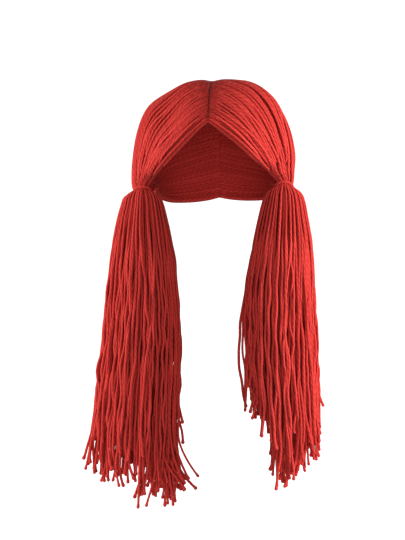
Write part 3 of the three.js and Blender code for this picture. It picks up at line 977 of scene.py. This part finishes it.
def waves(below, rng):
    """How far strands swing out of line: more the lower they hang."""
    swing = np.zeros_like(below)
    size = (len(below), 1)
    for shortest, longest, swings in WAVES:
        wave = rng.uniform(shortest, longest, size)
        phase = rng.uniform(0, 2 * math.pi, size)
        strength = swings * np.minimum(rng.gamma(SWING["shape"], SWING["scale"], size), SWING["most"])
        swing += strength * eased(below, *SWING["grows"]) * np.sin(2 * math.pi * below / wave + phase)
    return swing

def tail_paths(which, side, seats, cuts, rng):
    """Paths from under the tie, over the shoulder and down to the cut."""
    angle, on_top, further = seats
    cut, apart, kick = cuts
    count = len(angle)
    rows = SECTIONS[which]
    top = rows[0][0]
    below = top + (cut[:, None] - top) * np.linspace(0, 1, TAIL_PATH["steps"]) ** TAIL_PATH["power"]
    out = further[:, None] + (on_top - further)[:, None] * (1 - eased(below, *COMES_OUT))
    drift = np.where(rng.random(count) < DRIFT["share"], DRIFT["far"], DRIFT["near"])
    drift = drift * rng.normal(0, 1, count)
    crossed = rng.normal(0, CROSS["spread"], count)
    turned = angle[:, None] + drift[:, None] * eased(below, *DRIFT["grows"])
    turned += crossed[:, None] * eased(below, *CROSS["grows"]) * (1 - eased(below, *CROSS["fades"]))
    x = smooth_column(rows, 1, below) + smooth_column(rows, 3, below) * out * np.cos(turned)
    y = smooth_column(rows, 2, below) + smooth_column(rows, 4, below) * out * np.sin(turned)
    x += waves(below, rng) - apart[:, None] * eased(below, *HANGS_APART)
    y += waves(below, rng)
    near_end = np.clip(1 - (cut[:, None] - below) / END_TURN["reach"], 0, 1) ** END_TURN["power"]
    aside = np.clip(rng.normal(0, END_TURN[which], (count, 1)), -END_TURN["most"], END_TURN["most"])
    x += (aside - kick[:, None]) * near_end
    forth = np.clip(rng.normal(0, END_TURN["y"], (count, 1)), -END_TURN["y_most"], END_TURN["y_most"])
    y += forth * near_end
    return tilted(np.stack([side * x, y, NECK[side] - below], axis=-1), side)

# %% [markdown]
# ## Hanging the pigtails
#
# Just below the tie the strands are squeezed thin, and at a cut the plies open into a small knob. Plain
# tubes would end like wire. So the girth of each strand changes along its length.

# %% Hang the pigtails
TAIL_CUTS = ((40.0, 14), 34, (8.0, 7))
TAIL_GIRTH = {"shoulder": 0.75, "gains": 0.25, "grows": (20, 80), "spread": 0.08}
KNOB = [
    # distance from the cut end, girth: the plies open there and swell
    (0.0, 0.85), (0.8, 1.32), (2.2, 1.45), (4.0, 1.15), (6.5, 1.0),
]
AXIS_BELOW = 12.0
# Random tones in a lower range than the crown's: partly painted shade that darkens the pigtails.
TAIL_TONES_AND_SHADE = (0, 0.75)
TAIL_SIDES = 7

def hang_tail(name, which, side, seed):
    """All strands of one pigtail, as one piece."""
    rng = np.random.default_rng(seed)
    seats = ring_seats(rng)
    angle, _, further = seats
    count = len(angle)
    cuts = cut_tail(which, further * np.cos(angle), further, rng)
    points = in_steps(tail_paths(which, side, seats, cuts, rng), *TAIL_CUTS)
    walked = lengths_along(points)
    girth = TAIL_GIRTH["shoulder"] + TAIL_GIRTH["gains"] * eased(walked, *TAIL_GIRTH["grows"])
    radii = STRAND_RADIUS * girth * rng.normal(1, TAIL_GIRTH["spread"], (count, 1))
    radii *= np.interp(walked[:, -1:] - walked, *np.array(KNOB).T)
    rows = SECTIONS[which]
    lowered = NECK[side] - points[..., 2]
    x, y = side * smooth_column(rows, 1, lowered), smooth_column(rows, 2, lowered)
    axis = np.stack([x, y, points[..., 2] - AXIS_BELOW], axis=-1)
    tones = rng.uniform(*TAIL_TONES_AND_SHADE, count)
    return strand_piece(name, points, points - axis, radii, tones, TAIL_SIDES, red_yarn)

for which, side, seed in (("left", 1, 61), ("right", -1, 79)):
    tail = hang_tail(f"pigtail_{which}_strands", which, side, seed)
    lit_by[f"lamp_{which}"].objects.link(tail)
    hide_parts(f"pigtail_{which}")
